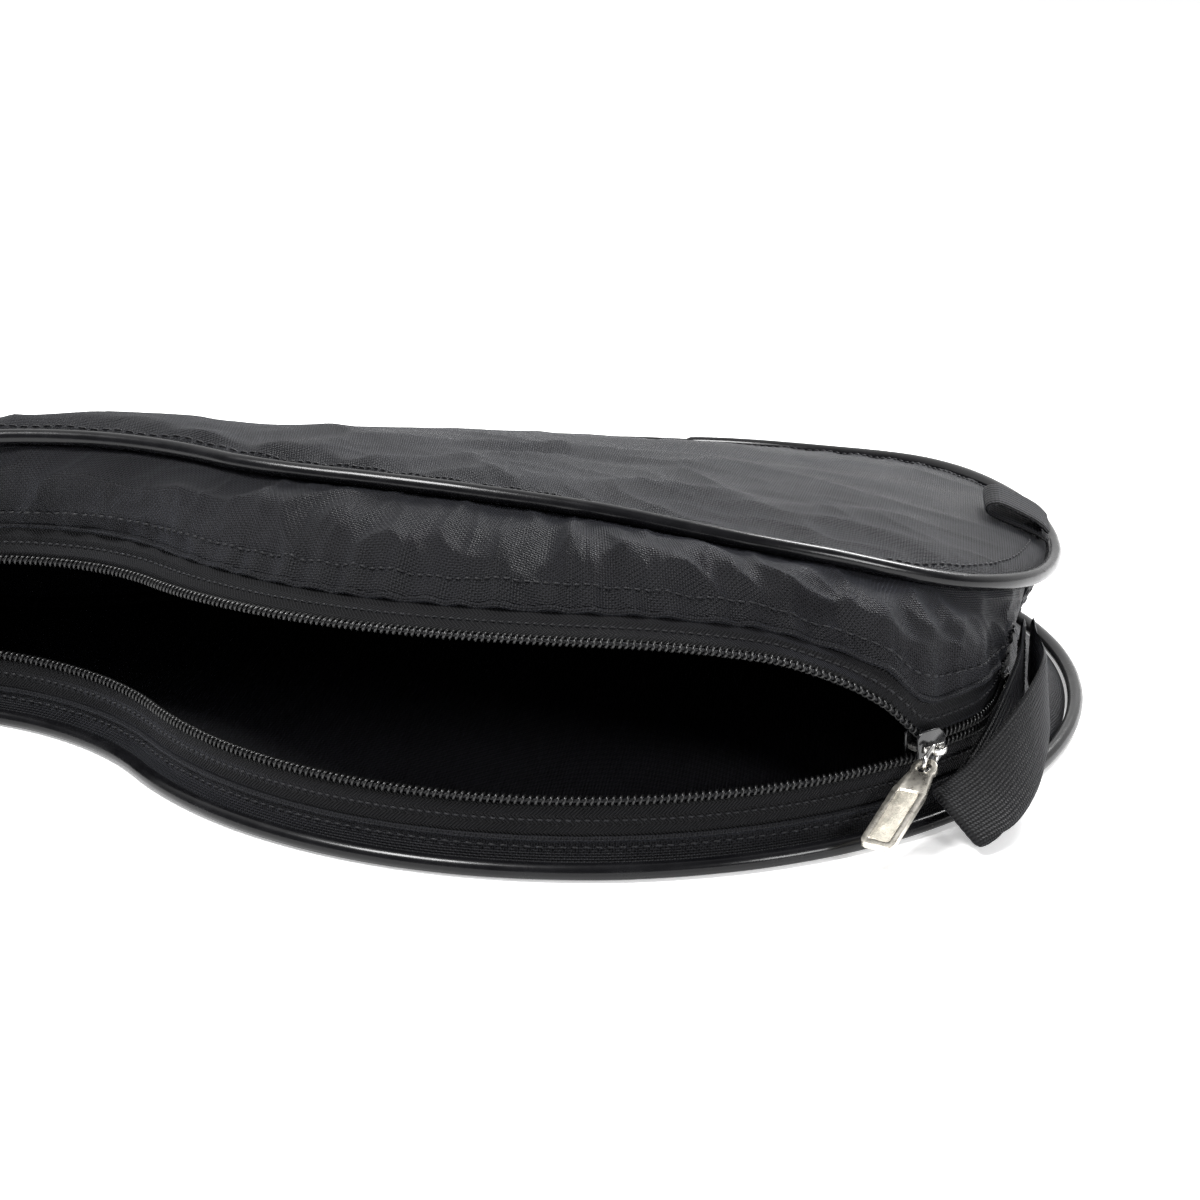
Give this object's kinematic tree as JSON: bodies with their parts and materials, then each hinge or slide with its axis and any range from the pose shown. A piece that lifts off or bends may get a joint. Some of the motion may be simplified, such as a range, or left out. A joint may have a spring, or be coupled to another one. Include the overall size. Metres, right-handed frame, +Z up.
{
  "type": "paddle case",
  "caption": "Soft teardrop paddle case lying flat: padded panels, piped seams, curved side gusset with an open coil zip, slider and pull, carry loop and hanging loop.",
  "frame": {"origin": "middle of the case's underside, on the surface it lies on", "axes": "+X along the case to the round tip, +Y to the plain side away from the zip, +Z up"},
  "size_m": [0.4923, 0.2896, 0.0856],
  "materials": {
    "shell_fabric": "black woven polyester with a slight sheen",
    "piping": "glossy black",
    "binding": "black woven tape",
    "zip_tape": "black herringbone tape",
    "zip_coil": "black nylon",
    "nickel": "bright nickel",
    "slider_enamel": "black enamel",
    "tab_metal": "pale nickel with a sanded panel",
    "webbing": "black ribbed webbing"
  },
  "bodies": {
    "shell": {"base_panel": "shell_fabric", "top_panel": "shell_fabric", "far_gusset": "shell_fabric", "upper_zip_gusset": "shell_fabric", "lower_zip_gusset": "shell_fabric", "base_piping": "piping", "top_piping": "piping", "base_binding": "binding", "top_binding": "binding", "tip_seam_tab": "shell_fabric", "heel_seam_tab": "shell_fabric", "upper_zip_tape": "zip_tape", "lower_zip_tape": "zip_tape", "upper_zip_coil": "zip_coil", "lower_zip_coil": "zip_coil", "zip_tip_stop": "nickel", "zip_heel_stop": "nickel"},
    "slider": {"slider_body": "slider_enamel", "slider_bridge": "nickel"},
    "link": {"pull_link": "nickel"},
    "tab": {"pull_tab": "tab_metal"},
    "carry": {"carry_loop": "webbing"},
    "hanger": {"hang_loop": "webbing"}
  },
  "joints": [
    {"name": "zip_travel", "type": "hinge", "parent": "shell", "child": "slider", "pos_m": [0.099, 0, 0.021], "axis": [0, 0, -1], "range_deg": [0, 92]},
    {"name": "link_swing", "type": "hinge", "parent": "slider", "child": "link", "pos_m": [0.19955, -0.09949, 0.021], "axis": [-0.1624, -0.3376, 0.9272], "range_deg": [-8, 70]},
    {"name": "tab_swing", "type": "hinge", "parent": "link", "child": "tab", "pos_m": [0.19633, -0.10618, 0.018], "axis": [-0.1624, -0.3376, 0.9272], "range_deg": [-5, 30]},
    {"name": "carry_loop_swing", "type": "hinge", "parent": "shell", "child": "carry", "pos_m": [0.22415, -0.04037, 0.027], "axis": [0, 0, 1], "range_deg": [0, 75]},
    {"name": "hang_loop_flip", "type": "hinge", "parent": "shell", "child": "hanger", "pos_m": [0.2314, 0, 0.0492], "axis": [0, 1, 0], "range_deg": [0, 110]}
  ]
}
